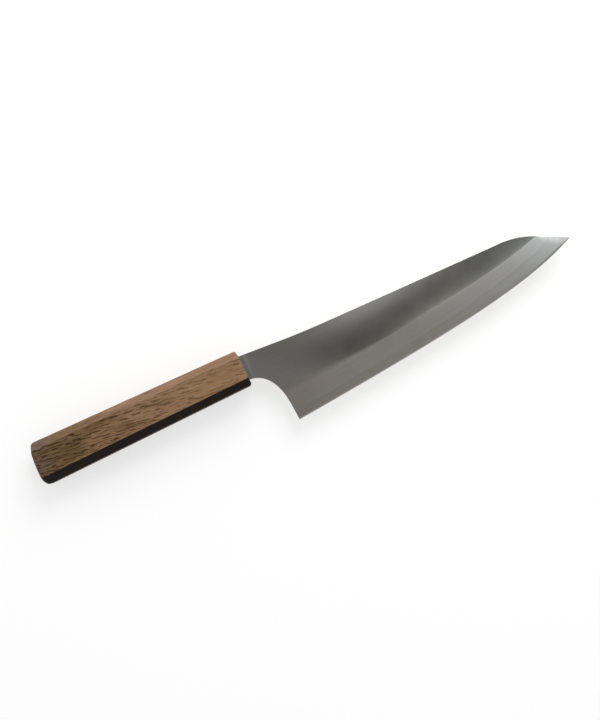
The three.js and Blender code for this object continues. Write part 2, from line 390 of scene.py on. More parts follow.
class Finish:
    """What every finish shares: nodes of its own, then a bump and one shader.

    Attributes:
        name: the material's name.
        relief: the bump's strength, and its depth in millimetres.
    """

    name: str
    relief: Pair

    def draw(self, node: Adder) -> Look:
        """Adds the finish's own nodes.

        Args:
            node: adds a node to the material.

        Returns:
            The shader's inputs, and the height that the bump reads.
        """
        raise NotImplementedError

    def build(self) -> bpy.types.Material:
        """Makes the material.

        Returns:
            The material, with a bump and one shader.
        """
        material = bpy.data.materials.new(self.name)
        node = cleared(material)
        look, height = self.draw(node)
        strength, depth_mm = self.relief
        bump = node("Bump", {"Height": height, "Strength": strength, "Distance": depth_mm * MM})
        node("OutputMaterial", {"Surface": node("BsdfPrincipled", {**look, "Normal": bump})})
        return material


@dataclass(frozen=True)
class GroundSteel(Finish):
    """Blade steel, satin polished on the flat and hazed by stones on the bevel.

    The polish mirrors the room softly in dark grey, the haze scatters more light and looks paler and
    warmer, and hair-fine grinding lines run along the blade.
    """

    name: str
    polished: str
    hazed: str
    roughness: Pair = (0.11, 0.17)  # of the polish and of the haze
    line_length_mm: float = 40.0
    line_pitch_mm: float = 0.5  # drawn coarser than the real lines so that they show
    streak: Pair = (0.95, 1.04)
    cloud_mm: float = 14.0
    wear_and_reflection_amount: Pair = (0.92, 1.1)
    relief: Pair = (0.12, 0.003)

    def draw(self, node: Adder) -> Look:
        """Adds the nodes: haze sets tone and roughness, lines streak the tone, clouds vary the roughness.

        Args:
            node: adds a node to the material.

        Returns:
            The shader's inputs, and the height that the bump reads.
        """
        grind = node("Attribute", out="Vector", attribute_name="grind")
        haze = node("Attribute", out="Fac", attribute_name="haze")
        lines = grain(node, grind, (self.line_length_mm, self.line_pitch_mm), MANY_LAYERS)
        clouds = grain(node, grind, (self.cloud_mm, self.cloud_mm))
        tone = node("Mix", {FACTOR: haze, UNDER: self.polished, OVER: self.hazed}, **MIX)
        streak = node("MapRange", {"Value": lines, **NOISE, **limits("To", self.streak)})
        polish = node("MapRange", {"Value": haze, **limits("To", self.roughness)})
        wear_and_reflection = node("MapRange", {"Value": clouds, **NOISE, **limits("To", self.wear_and_reflection_amount)})
        return {
            "Base Color": node("Mix", {FACTOR: 1.0, UNDER: tone, OVER: streak}, **TINT),
            "Metallic": 1.0,
            "Roughness": node("Math", {0: polish, 1: wear_and_reflection}, operation="MULTIPLY"),
        }, lines


@dataclass(frozen=True)
class LacqueredOak(Finish):
    """Oak, planed to facets and wiped with thin brown lacquer.

    The lacquer leaves the pores open, so the eye sees a warm brown ground, dark wavy dashes where rows of
    pores are cut, fine fibres between them and hardly any gloss. It has soaked in more towards the butt,
    whose end gets a painted grey reflection. The sloping facets cut the rows flat, so they are smoother and
    less golden, and the rim above the black is rubbed paler.
    """

    name: str = "Oak, wiped with brown lacquer"
    pale: str = "#a17d63"
    deep: str = "#8d6c53"
    dash: str = "#422604"
    rim: str = "#a8764a"
    side_tint: str = "#fdfdee"
    butt_tint: str = "#bdc1ab"
    # grey of the reflection painted on the butt's rounded end
    wear_and_reflection: str = "#62606b"
    reflection_from: Pair = (0.89, 0.95)  # shares of the way to the butt over which the painted grey reflection on its end comes in
    reflection_share: Pair = (0.38, 0.2)  # how strong the painted grey reflection is there on the sloping facets and on the sides
    roughness: Pair = (0.55, 0.75)  # of the lacquered ground and of the open pores
    specular: float = 0.25
    lean_deg: float = 8.5
    row_mm: float = 1.9
    row_edge: Pair = (0.2, 1.0)
    sway_mm: Pair = (11.0, 3.0)
    sway_depth_mm: float = 1.1
    dash_mm: Pair = (6.8, 1.35)
    dash_edge: Pair = (0.37, 0.59)
    dash_ink: Pair = (0.54, 1.2)  # how dark the dashes are at the front and at the butt
    ink_from: float = 0.2  # share of the way to the butt where they begin to darken
    pore_mm: Pair = (4.0, 0.35)
    pore_edge: Pair = (0.55, 0.72)
    pore_ink: float = 0.4
    crowd_mm: Pair = (26.0, 7.0)
    crowding: float = 0.03
    butt_crowding: Pair = (-0.02, 0.05)  # at the front and at the butt
    soak_edge: Pair = (0.42, 0.9)
    soak_sway: float = 0.25  # how far the soaked wood reaches unevenly, as a share of the handle's length
    slope_thirst: float = 0.75  # how much of the soaking the sloping facets take
    band_mm: Pair = (45.0, 3.0)
    band_edge: Pair = (0.32, 0.68)
    fibre_mm: Pair = (14.0, 0.3)
    fibre_tone: Pair = (0.88, 1.1)
    rim_height_mm: float = 0.9
    rim_share: float = 0.6
    relief: Pair = (0.4, 0.12)

    def draw(self, node: Adder) -> Look:
        """Adds the nodes: rows of pores, gated by noise, make dashes over a ground of bands and fibres.

        Args:
            node: adds a node to the material.

        Returns:
            The shader's inputs, and the height that the bump reads.
        """
        place = node("TexCoord", out="Object")
        cut, rim, butt = (
            node("Attribute", out="Fac", attribute_name=name) for name in ("cut", "rim", "butt"))
        turned, straight = (
            node("Mapping", {"Vector": place, "Rotation": (0.0, 0.0, turn), "Scale": (1.0 / MM,) * 3})
            for turn in (math.radians(self.lean_deg), 0.0))
        slope = {"Value": cut, **limits("From", (SLOPE_CUT, 1.0))}

        # Rows of pores sway across the grain, and crowd in patches and towards the butt
        sway = node("MapRange", {
            "Value": grain(node, turned, self.sway_mm), **NOISE,
            **limits("To", (-self.sway_depth_mm, self.sway_depth_mm))})
        swayed = node("VectorMath", {0: turned, 1: node("CombineXYZ", {"Y": sway})}, operation="ADD")
        crowd = node("MapRange", {
            "Value": grain(node, turned, self.crowd_mm), **NOISE, **limits("To", (-1.0, 1.0))})
        towards_butt = node("MapRange", {"Value": butt, **limits("To", self.butt_crowding)})
        lift = node("Math", {0: crowd, 1: self.crowding, 2: towards_butt}, operation="MULTIPLY_ADD")
        dashes = node("Math", {0: grain(node, turned, self.dash_mm, FEW_LAYERS), 1: lift}, operation="ADD")
        gate = node("MapRange", {"Value": dashes, **limits("From", self.dash_edge)}, **SMOOTH)
        rows = node(
            "TexWave", {"Vector": swayed, "Scale": wave_scale(self.row_mm)}, "Fac", bands_direction="Y")
        rows = node("MapRange", {"Value": rows, **limits("From", self.row_edge)}, **SMOOTH)
        dashes = node("Math", {0: rows, 1: gate}, operation="MULTIPLY")
        pores = node("MapRange", {
            "Value": grain(node, turned, self.pore_mm), **limits("From", self.pore_edge),
            "To Max": self.pore_ink}, **SMOOTH)
        marks = node("Math", {0: dashes, 1: pores}, operation="MAXIMUM")
        shown = node("Math", {0: marks, 1: cut}, operation="MULTIPLY")

        # Ground of soft bands and fine fibres, darker and more olive towards the butt
        bands = node("MapRange", {
            "Value": grain(node, straight, self.band_mm), **limits("From", self.band_edge)})
        soak = node("Math", {0: crowd, 1: self.soak_sway, 2: butt}, operation="MULTIPLY_ADD")
        thirst = node("MapRange", {**slope, **limits("To", (self.slope_thirst, 1.0))})
        soaked = node("MapRange", {
            "Value": soak, **limits("From", self.soak_edge), "To Max": thirst}, **SMOOTH)
        fibres = node("MapRange", {
            "Value": grain(node, straight, self.fibre_mm), **NOISE, **limits("To", self.fibre_tone)})
        # Painted grey reflection on the butt's rounded end, stronger on the sloping facets than on the sides
        wear_and_reflection_amount = node("MapRange", {**slope, **limits("To", self.reflection_share)})
        grey_reflection = node("MapRange", {
            "Value": butt, **limits("From", self.reflection_from), "To Max": wear_and_reflection_amount}, **SMOOTH)
        rubbed = node("MapRange", {
            "Value": rim, "From Max": self.rim_height_mm, **limits("To", (self.rim_share, 0.0))}, **SMOOTH)
        ink = node("MapRange", {"Value": butt, "From Min": self.ink_from, **limits("To", self.dash_ink)})
        colour = self.deep
        for share, over, blend in (
            (bands, self.pale, MIX),
            (soaked, self.butt_tint, TINT),
            (node("MapRange", slope), self.side_tint, TINT),
            (1.0, fibres, TINT),
            (grey_reflection, self.wear_and_reflection, MIX),
            (rubbed, self.rim, MIX),
            (node("Math", {0: shown, 1: ink}, operation="MULTIPLY"), self.dash, MIX),
        ):
            colour = node("Mix", {FACTOR: share, UNDER: colour, OVER: over}, **blend)
        return {
            "Base Color": colour,
            "Roughness": node("MapRange", {"Value": shown, **limits("To", self.roughness)}),
            "Specular IOR Level": self.specular,
        }, node("Math", {0: fibres, 1: shown}, operation="SUBTRACT")


@dataclass(frozen=True)
class BlackLacquer(Finish):
    """Oak facets filled and covered with black lacquer.

    The filled coat hides the grain: a neutral black with a soft gloss, faint brush waves and a breath of
    brown.
    """

    name: str = "Black lacquer, brushed over filled oak"
    black: str = "#140f0d"
    brown: str = "#221913"
    brown_edge: Pair = (0.4, 0.75)
    roughness: Pair = (0.425, 0.6)
    specular: float = 0.12
    wave_mm: Pair = (35.0, 1.6)
    relief: Pair = (0.3, 0.03)

    def draw(self, node: Adder) -> Look:
        """Adds the nodes: brush waves drawn out along the handle set tone, roughness and height.

        Args:
            node: adds a node to the material.

        Returns:
            The shader's inputs, and the height that the bump reads.
        """
        length, width = self.wave_mm
        waves = grain(node, node("TexCoord", out="Object"), (length * MM, width * MM), MANY_LAYERS)
        share = node("MapRange", {"Value": waves, **limits("From", self.brown_edge)})
        return {
            "Base Color": node("Mix", {FACTOR: share, UNDER: self.black, OVER: self.brown}, **MIX),
            "Roughness": node("MapRange", {"Value": waves, **NOISE, **limits("To", self.roughness)}),
            "Specular IOR Level": self.specular,
        }, waves


@dataclass(frozen=True)
class OakEndGrain(Finish):
    """Sawn and sanded oak end grain under the same brown lacquer.

    Lacquer soaks in deeper, so it is darker, with curved rings and dots of open pores that crowd along them.
    """

    name: str = "Oak end grain, wiped with brown lacquer"
    pale: str = "#6f5239"
    deep: str = "#5a412b"
    dot: str = "#291a0e"
    roughness: Pair = (0.6, 0.5)
    coat: float = 0.12
    coat_roughness: float = 0.3
    ring_mm: float = 2.4
    ring_waver: float = 2.0
    heart_mm: Pair = (-35.0, -22.0)
    dot_mm: float = 0.25
    dot_reach: Pair = (0.42, 0.12)  # how far the dots reach in early and in late wood
    early_edge: Pair = (0.2, 0.6)
    dot_ink: float = 0.8
    relief: Pair = (0.4, 0.1)

    def draw(self, node: Adder) -> Look:
        """Adds the nodes: rings round the tree's heart, and cells' middles as dots, larger in early wood.

        Args:
            node: adds a node to the material.

        Returns:
            The shader's inputs, and the height that the bump reads.
        """
        heart = (0.0, -self.heart_mm[0] * MM, -self.heart_mm[1] * MM)
        place = node("TexCoord", out="Object")
        moved = node("Mapping", {"Vector": place, "Location": heart, "Scale": (0.0, 1.0, 1.0)})
        rings = node("TexWave", {
            "Vector": moved, "Scale": wave_scale(self.ring_mm * MM), "Distortion": self.ring_waver,
            "Detail": LAYERS}, "Fac", wave_type="RINGS", rings_direction="X", wave_profile="SAW")
        cells = node("TexVoronoi", {"Vector": moved, "Scale": 1.0 / (self.dot_mm * 2.0 * MM)})
        ground = node("Mix", {FACTOR: rings, UNDER: self.deep, OVER: self.pale}, **MIX)
        reach = node("MapRange", {
            "Value": rings, **limits("From", self.early_edge), **limits("To", self.dot_reach)})
        hole = node("Math", {0: cells, 1: reach}, operation="LESS_THAN")
        inked = node("Math", {0: hole, 1: self.dot_ink}, operation="MULTIPLY")
        return {
            "Base Color": node("Mix", {FACTOR: inked, UNDER: ground, OVER: self.dot}, **MIX),
            "Roughness": node("MapRange", {"Value": rings, **limits("To", self.roughness)}),
            "Coat Weight": self.coat,
            "Coat Roughness": self.coat_roughness,
        }, node("Math", {0: 1.0, 1: hole}, operation="SUBTRACT")


@dataclass(frozen=True)
class TurnedSoftwood(Finish):
    """Straight-grained softwood, turned to a dowel: pale straw with darker summer rings along it."""

    name: str = "Softwood, turned"
    pale: str = "#d9c59c"
    summer: str = "#b8955f"
    roughness: Pair = (0.65, 0.55)
    ring_mm: float = 1.4
    ring_waver: float = 1.5
    draw_out: float = 0.03  # how little the rings change along the dowel
    relief: Pair = (0.3, 0.03)

    def draw(self, node: Adder) -> Look:
        """Adds the nodes: wavering bands, drawn out along the dowel.

        Args:
            node: adds a node to the material.

        Returns:
            The shader's inputs, and the height that the bump reads.
        """
        place = node("TexCoord", out="Object")
        drawn = node("Mapping", {"Vector": place, "Scale": (self.draw_out, 1.0, 1.0)})
        rings = node("TexWave", {
            "Vector": drawn, "Scale": wave_scale(self.ring_mm * MM), "Distortion": self.ring_waver,
            "Detail": LAYERS}, "Fac", bands_direction="Y")
        return {
            "Base Color": node("Mix", {FACTOR: rings, UNDER: self.pale, OVER: self.summer}, **MIX),
            "Roughness": node("MapRange", {"Value": rings, **limits("To", self.roughness)}),
        }, rings


@dataclass(frozen=True)
class SetResin(Finish):
    """Poured resin, set hard: smooth, softly glossy, with faint clouds where it flowed."""

    name: str
    thin: str
    thick: str
    roughness: float
    unevenness: float = 0.15  # share by which the roughness varies
    cloud_mm: float = 2.5
    relief: Pair = (0.3, 0.02)

    def draw(self, node: Adder) -> Look:
        """Adds the nodes: clouds set the tone, the roughness and the height.

        Args:
            node: adds a node to the material.

        Returns:
            The shader's inputs, and the height that the bump reads.
        """
        size = self.cloud_mm * MM
        clouds = grain(node, node("TexCoord", out="Object"), (size, size), MANY_LAYERS)
        share = node("MapRange", {"Value": clouds, **NOISE})
        ends = self.roughness * (1.0 - self.unevenness), self.roughness * (1.0 + self.unevenness)
        return {
            "Base Color": node("Mix", {FACTOR: share, UNDER: self.thin, OVER: self.thick}, **MIX),
            "Roughness": node("MapRange", {"Value": clouds, **NOISE, **limits("To", ends)}),
        }, clouds


@dataclass
class BevelLines:
    """How the bevel runs at each station along the ridge and the nose, as arrays in millimetres.

    Attributes:
        x: place of the station on the ridge or the nose.
        top: height of the ridge or the nose there.
        lean: share of the heel's lean.
        long: way down to the edge.
        half: half the thickness at the top.
        softness: width over which the flat turns into the bevel.
        down: way down to the lamination line.
    """

    x: Array
    top: Array
    lean: Array
    long: Array
    half: Array
    softness: Array
    down: Array


@dataclass
class Blade:
    """Three-layer blade with its neck and tang, in millimetres."""

    tip: Pair = (227.0, -13.5)
    heel: Pair = (18.2, -44.4)
    neck_gap: float = 2.7
    neck_top: float = 8.0
    neck_bottom: float = -8.5
    back_bend: Pair = (43.4, 4.84)
    back_bend_run: float = 17.0
    back_end: Pair = (183.7, 2.42)
    nose_bend: Pair = (195.9, 2.2)
    ridge_end: Pair = (207.1, -3.3)
    nose_fall: Pair = (216.9, -8.1)
    edge_from_heel: Pair = (133.5, -36.0)
    edge_to_tip: Pair = (189.7, -29.7)
    ridge_start: Pair = (16.3, -24.4)
    ridge_from_heel: Pair = (103.9, -22.7)
    ridge_to_tip: Pair = (183.4, -11.6)
    choil_upper: Pair = (12.8, -10.9)
    choil_lower: Pair = (17.6, -29.4)
    spine_half: float = 1.5
    runout_half: float = 0.7
    edge_half: float = 0.1
    core_half: float = 0.45
    honed_half: float = 0.03
    honed_height: float = 0.4
    neck_step: float = 0.3
    step_start: float = 1.2
    step_end: float = 3.0
    roll_off: float = 0.12
    roll_off_end: float = 7.0
    tang_half: float = 1.2
    tang: Line = ((-90.0, 3.0), (-12.0, 5.25))
    stub_start: float = -2.8
    stub_end: float = 0.6
    eased: float = 0.22
    crown: float = 0.1
    crown_height: float = 30.0
    crown_from: float = 30.0
    nose_fall_off: float = 0.1  # how much the bevel is rounded over along the nose
    nose_fall_run: float = 5.5
    soft_ridge: Line = ((16.3, 5.0), (45.0, 2.8), (75.0, 1.3), (150.0, 0.5))
    haze_reach: float = 0.6  # how far the haze fades each way from the ridge, as a share of the bend's width
    heel_lean_run: float = 25.0
    lamination_wave: float = 0.3
    lamination_fade: float = 9.0
    # Sines of the lamination line: length for each radian, height and phase
    lamination_sines: tuple[Triple, ...] = ((5.3, 1.0, 0.0), (2.9, 0.7, 1.0), (11.0, 0.5, 2.0))
    heel_run: float = 6.0  # stretches at the heel and before the run-out that have closer stations
    runout_run: float = 10.0
    rim_share: float = 0.04  # share of the flat's height that has closer rows, at the spine and at the ridge

    # Stations in each stretch, how far apart the choil's are, and rows on the flat, the bevel and the core
    TANG, NECK, STEP, HEEL, BODY, RUNOUT, NOSE = 4, 8, 12, 15, 151, 21, 41
    CHOIL_EVERY = 7
    SPINE_POINTS = 30, 80, 60, 120  # on its line, its bend, its second line and its nose
    RIM_ROWS, FLAT_ROWS, BEVEL_ROWS, BAND_ROWS = 8, 26, 27, 15
    # Powers that crowd the stations at the heel and the rows below the ridge
    HEEL_CROWDING, BEVEL_CROWDING = 2.5, 1.2

    def __post_init__(self) -> None:
        """Draws the outline, ridge and edge as lines that run along x."""
        self.edge = bezier(self.heel, self.edge_from_heel, self.edge_to_tip, self.tip)
        self.ridge = bezier(self.ridge_start, self.ridge_from_heel, self.ridge_to_tip, self.ridge_end)
        self.nose = bezier(self.ridge_end, self.nose_fall, self.tip)
        self.choil = bezier((self.neck_gap, self.neck_bottom), self.choil_upper, self.ridge_start)
        self.heel_back = bezier(self.ridge_start, self.choil_lower, self.heel)
        tang, under_neck = np.array(self.tang), self.neck_bottom + self.neck_step
        stub = np.array([[self.stub_start, under_neck], [self.stub_end, under_neck]])
        choil = self.choil[self.choil[:, 0] > self.step_end]
        self.top = np.vstack([tang, self.spine(), self.nose[1:]])
        self.bottom = np.vstack([tang * [1.0, -1.0], stub, choil, self.ridge[1:]])
        self.softness = np.array(self.soft_ridge)

    def spine(self) -> Array:
        """Spine from inside the handle to the run-out: a line, a soft bend, a line and the falling nose.

        Returns:
            Points along x.
        """
        bend, end = np.array(self.back_bend), np.array(self.back_end)
        neck = np.array([self.neck_gap, self.neck_top])
        start = bend + (neck - bend) * (bend[0] - self.stub_start) / (bend[0] - neck[0])
        before = bend + (neck - bend) * self.back_bend_run / np.linalg.norm(neck - bend)
        after = bend + (end - bend) * self.back_bend_run / np.linalg.norm(end - bend)
        stretches = (
            (start, before), (before, bend, after), (after, end), (end, self.nose_bend, self.ridge_end))
        lines = [bezier(*ends, steps=count) for ends, count in zip(stretches, self.SPINE_POINTS)]
        return np.vstack([line[:-1] for line in lines[:-1]] + lines[-1:])

    def flat_half(self, x: Array) -> Array:
        """Half the thickness under the flats: the tang, a small step, a soft roll-off and a steady taper.

        Args:
            x: places along the blade.

        Returns:
            Half the thickness at each place.
        """
        slope = (self.runout_half - self.spine_half) / (self.ridge_end[0] - self.neck_gap)
        taper = self.spine_half + slope * (x - self.neck_gap)
        left = np.clip((self.roll_off_end - x) / (self.roll_off_end - self.step_end), 0.0, 1.0)
        rolled = taper - self.roll_off * left**2
        rise = np.clip((x - self.step_start) / (self.step_end - self.step_start), 0.0, 1.0)
        return self.tang_half + (rolled - self.tang_half) * rise

    def ruling(self, softness: Array, down: Array) -> Array:
        """Soft bend from level to sloping: the mean of the way down and its hypotenuse with the width."""
        return (down + np.sqrt(down**2 + softness**2)) / 2.0

    def easing(self, x: Array, y: Array, half: Array) -> Array:
        """Height lost to the rounded outline: a quarter circle's drop at a distance in from the outline.

        The distance is to the spine and nose, the choil or the back of the heel, whichever is nearest.

        Args:
            x: places along the blade.
            y: heights, in an array of the same shape.
            half: half the thickness there, which the rounding takes at most half of.

        Returns:
            The height lost.
        """
        back = np.vstack([self.choil, self.heel_back[1:]])
        from_back = above(np.column_stack([-back[:, 1], back[:, 0]]), -y, x)
        distance = np.minimum.reduce([
            -above(self.top, x, y),
            np.where(x < self.ridge_start[0], above(self.bottom, x, y), np.inf),
            np.where(y < self.neck_bottom, from_back, np.inf)])
        radius = np.minimum(self.eased, half / 2.0)
        inside = np.clip(radius - np.clip(distance, 0.0, None), 0.0, radius)
        return radius - np.sqrt(radius**2 - inside**2)

    def crown_at(self, x: Array) -> Array:
        """Crown of the flat: it starts behind the shoulder and shrinks with the flat's height squared."""
        height = np.clip(height_at(self.top, x) - height_at(self.ridge, x), 0.0, None)
        return self.crown * (height / self.crown_height) ** 2 * soft_step(x, self.neck_gap, self.crown_from)

    def columns(self) -> tuple[Array, Array]:
        """Stations along x, closer together where the outline turns.

        Returns:
            Stations of the flat, from the tang to the ridge's run-out, and stations of the nose.
        """
        (tang_end, _), (tang_start, _) = self.tang
        heel, runout = self.ridge_start[0], self.ridge_end[0]
        choil = self.choil[::self.CHOIL_EVERY, 0]
        flat = np.concatenate([
            np.linspace(tang_end, tang_start, self.TANG),
            np.linspace(tang_start, self.step_start, self.NECK)[1:-1],
            np.linspace(self.step_start, self.step_end, self.STEP),
            choil[(choil > self.step_end) & (choil < heel)],
            heel + self.heel_run * np.linspace(0.0, 1.0, self.HEEL)[:-1] ** self.HEEL_CROWDING,
            np.linspace(heel + self.heel_run, runout - self.runout_run, self.BODY)[:-1],
            runout - self.runout_run * np.linspace(1.0, 0.0, self.RUNOUT) ** 2,
        ])
        return flat, np.linspace(runout, self.tip[0], self.NOSE)[1:]

    def bevel_lines(self, x: Array, nose: Array) -> BevelLines:
        """Works out how the bevel runs at each station.

        The heel's lean fades with the cube of the way on. The nose thins steadily to the tip. The
        lamination line lies where the bevel cuts the core's face, which solves the soft bend for the way
        down, and it wavers as a sum of three sines.

        Args:
            x: stations along the ridge, from its heel end to its run-out.
            nose: stations along the nose.

        Returns:
            The bevel's lines.
        """
        upper = np.concatenate([x, nose])
        lean = np.clip(1.0 - (upper - x[0]) / self.heel_lean_run, 0.0, 1.0) ** 3
        top = np.where(upper < x[-1], height_at(self.ridge, upper), height_at(self.nose, upper))
        long = top - height_at(self.edge, upper + (self.heel[0] - x[0]) * lean)
        thinning = np.interp(upper, [self.ridge_end[0], self.tip[0]], [self.runout_half, self.edge_half])
        half = np.where(upper <= x[-1], self.flat_half(upper) - self.crown_at(upper), thinning)
        softness = height_at(self.softness, upper)
        fall = np.clip((half - self.core_half) / (half - self.edge_half + TINY), 0.0, 1.0)
        wanted = fall * self.ruling(softness, long) + TINY
        down = np.clip(wanted - softness**2 / (4.0 * wanted), 0.0, long)
        wave = sum(high * np.sin(upper / radian + phase) for radian, high, phase in self.lamination_sines)
        ends = (0.0, self.lamination_fade)
        fade = soft_step(upper - x[0], *ends) * soft_step(down, *ends)
        down = np.clip(down + self.lamination_wave * wave * fade, 0.0, long)
        return BevelLines(upper, top, lean, long, half, softness, down)

    def bevel_height(self, lines: BevelLines, drop: Array) -> Array:
        """Half the thickness on the bevel, which falls along the soft bend and rounds over the nose.

        The rounding is the cube of the share of its run that is left on the way down.

        Args:
            lines: how the bevel runs at each station.
            drop: ways down from the ridge or the nose.

        Returns:
            The heights.
        """
        share = self.ruling(lines.softness, drop) / self.ruling(lines.softness, lines.long + TINY)
        left = np.clip(1.0 - drop / self.nose_fall_run, 0.0, 1.0)
        started = soft_step(lines.x, self.ridge_end[0], self.ridge_end[0] + self.nose_fall_run)
        spare = np.minimum(self.nose_fall_off, (lines.half - self.edge_half) / 2.0)
        return lines.half - (lines.half - self.edge_half) * share - spare * started * left**3

    def marked(self, place: tuple[Array, Array, Array], softness: Array, drop: Array, core: Array) -> Sheet:
        """Joins a grid of the blade's face, and marks its haze, its grinding and the core under it.

        The share of haze is a soft step below the ridge, as wide as the bend.

        Args:
            place: x, y and z of each point.
            softness: width of the bend at each station.
            drop: way down from the ridge to each point.
            core: half the core's thickness at each station.

        Returns:
            The sheet.
        """
        marks = {
            "haze": soft_step(drop / softness, -self.haze_reach, self.haze_reach),
            "grind": np.stack([place[0], drop, 0.0 * drop], axis=-1),
            "core": np.broadcast_to(core, drop.shape),
        }
        return Sheet.from_grid(np.stack(place, axis=-1), marks=marks)

    def flat_sheet(self, x: Array, core: Array) -> Sheet:
        """Right flat with neck and tang: each station runs from the spine down to the choil or the ridge.

        The height is half the thickness, less the crown's square of the way from the flat's middle, the
        soft bend at the ridge and the rounding at the outline.

        Args:
            x: stations.
            core: half the core's thickness at each station.

        Returns:
            The sheet, with a row of points for each share of the way down.
        """
        ends = self.rim_share * np.linspace(0.0, 1.0, self.RIM_ROWS) ** 2
        between = np.linspace(self.rim_share, 1.0 - self.rim_share, self.FLAT_ROWS)[1:-1]
        share = np.concatenate([ends, between, 1.0 - ends[::-1]])[:, None]
        top, bottom = height_at(self.top, x), height_at(self.bottom, x)
        y = top + (bottom - top) * share
        across = np.broadcast_to(x, y.shape)
        ridge, edge = height_at(self.ridge, x), height_at(self.edge, x)
        softness, half, crown = height_at(self.softness, x), self.flat_half(x), self.crown_at(x)
        middle, reach = (top + ridge) / 2.0, (top - ridge) / 2.0 + TINY
        bend = self.ruling(softness, ridge - y) / self.ruling(softness, ridge - edge)
        bend = bend * soft_step(x, self.neck_gap, self.ridge_start[0]) * (half - crown - self.edge_half)
        z = half - crown * ((y - middle) / reach) ** 2 - bend
        z = z - self.easing(across, y, np.broadcast_to(half, y.shape))
        return self.marked((across, y, z), softness, ridge - y, core)

    def bevel_sheet(self, lines: BevelLines, drop: Array) -> Sheet:
        """Part of the right bevel: each station runs down from the ridge or the nose.

        The first station is the back of the heel, and the next ones lean as their lines say. The height
        falls along the soft bend, less the rounding at the outline.

        Args:
            lines: how the bevel runs at each station.
            drop: ways down from the ridge or the nose, in rows.

        Returns:
            The sheet.
        """
        y = lines.top - drop
        back = np.interp(-y, -self.heel_back[:, 1], self.heel_back[:, 0])
        across = lines.x + (back - self.ridge_start[0]) * lines.lean
        z = self.bevel_height(lines, drop)
        z = z - self.easing(across, y, z)
        return self.marked((across, y, z), lines.softness, drop, self.bevel_height(lines, lines.down))

    def layers(self) -> tuple[Sheet, Sheet]:
        """Right cladding and core as closed sheets.

        Returns:
            The cladding, between the blade's face and the core, and the core with both its bands.
        """
        x, nose = self.columns()
        lines = self.bevel_lines(x[x >= self.ridge_start[0]], nose)
        on_ridge = self.bevel_height(lines, lines.down)[lines.x <= x[-1]]
        core = np.concatenate([np.full(len(x) - len(on_ridge), self.core_half), on_ridge])
        flat = self.flat_sheet(x, core)
        rows = np.linspace(0.0, 1.0, self.BEVEL_ROWS)[:, None] ** self.BEVEL_CROWDING
        bevel = self.bevel_sheet(lines, lines.down * rows)
        bevel.points[:len(on_ridge)] = flat.points.reshape(-1, len(x), 3)[-1, -len(on_ridge):]
        honed = np.maximum(lines.long - self.honed_height, lines.down)
        below = lines.down + (honed - lines.down) * np.linspace(0.0, 1.0, self.BAND_ROWS)[:, None] ** 2
        band = self.bevel_sheet(lines, np.vstack([below, lines.long]))
        band.points[-len(lines.x):, 2] = np.minimum(band.points[-len(lines.x):, 2], self.honed_half)

        def layer(sheet: Sheet, upper: Callable, under: Callable) -> Sheet:
            """Closes a layer between two heights.

            Args:
                sheet: the blade's face over the layer.
                upper: gives the upper height from the face's and the core's.
                under: gives the lower height from the same two.

            Returns:
                The closed layer.
            """
            sheet = sheet.welded()
            face, inner = sheet.points[:, 2].copy(), sheet.marks.pop("core")
            low = np.column_stack([sheet.points[:, :2], under(face, inner)])
            sheet.points[:, 2] = upper(face, inner)
            return sheet.shell(low)

        clad = flat.joined(bevel)
        cladding = layer(clad, np.maximum, lambda face, inner: inner)
        return cladding, layer(clad.joined(band), np.minimum, lambda face, inner: -np.minimum(face, inner))

    def pieces(self) -> list[Piece]:
        """Builds and dresses the three layers.

        Returns:
            The core and both claddings.
        """
        cladding, core = self.layers()
        clad_steel = GroundSteel(
            "Cladding steel, satin polished and stone hazed", "#b7b5ac", "#d0cdc5").build()
        core_steel = GroundSteel(
            "Core steel, honed along the edge", "#c4c2b8", "#cac8c0", line_pitch_mm=0.8).build()
        pieces = [Piece("core_layer", core, [core_steel], "blade_core", "core_steel")]
        for side in Side:
            points = cladding.points * [1.0, 1.0, side.value]
            layer = Sheet(points, cladding.faces, cladding.finish, cladding.marks)
            name = side.name.lower()
            pieces.append(Piece(
                name + "_cladding", layer, [clad_steel], "blade_cladding_" + name, "cladding_steel"))
        return pieces


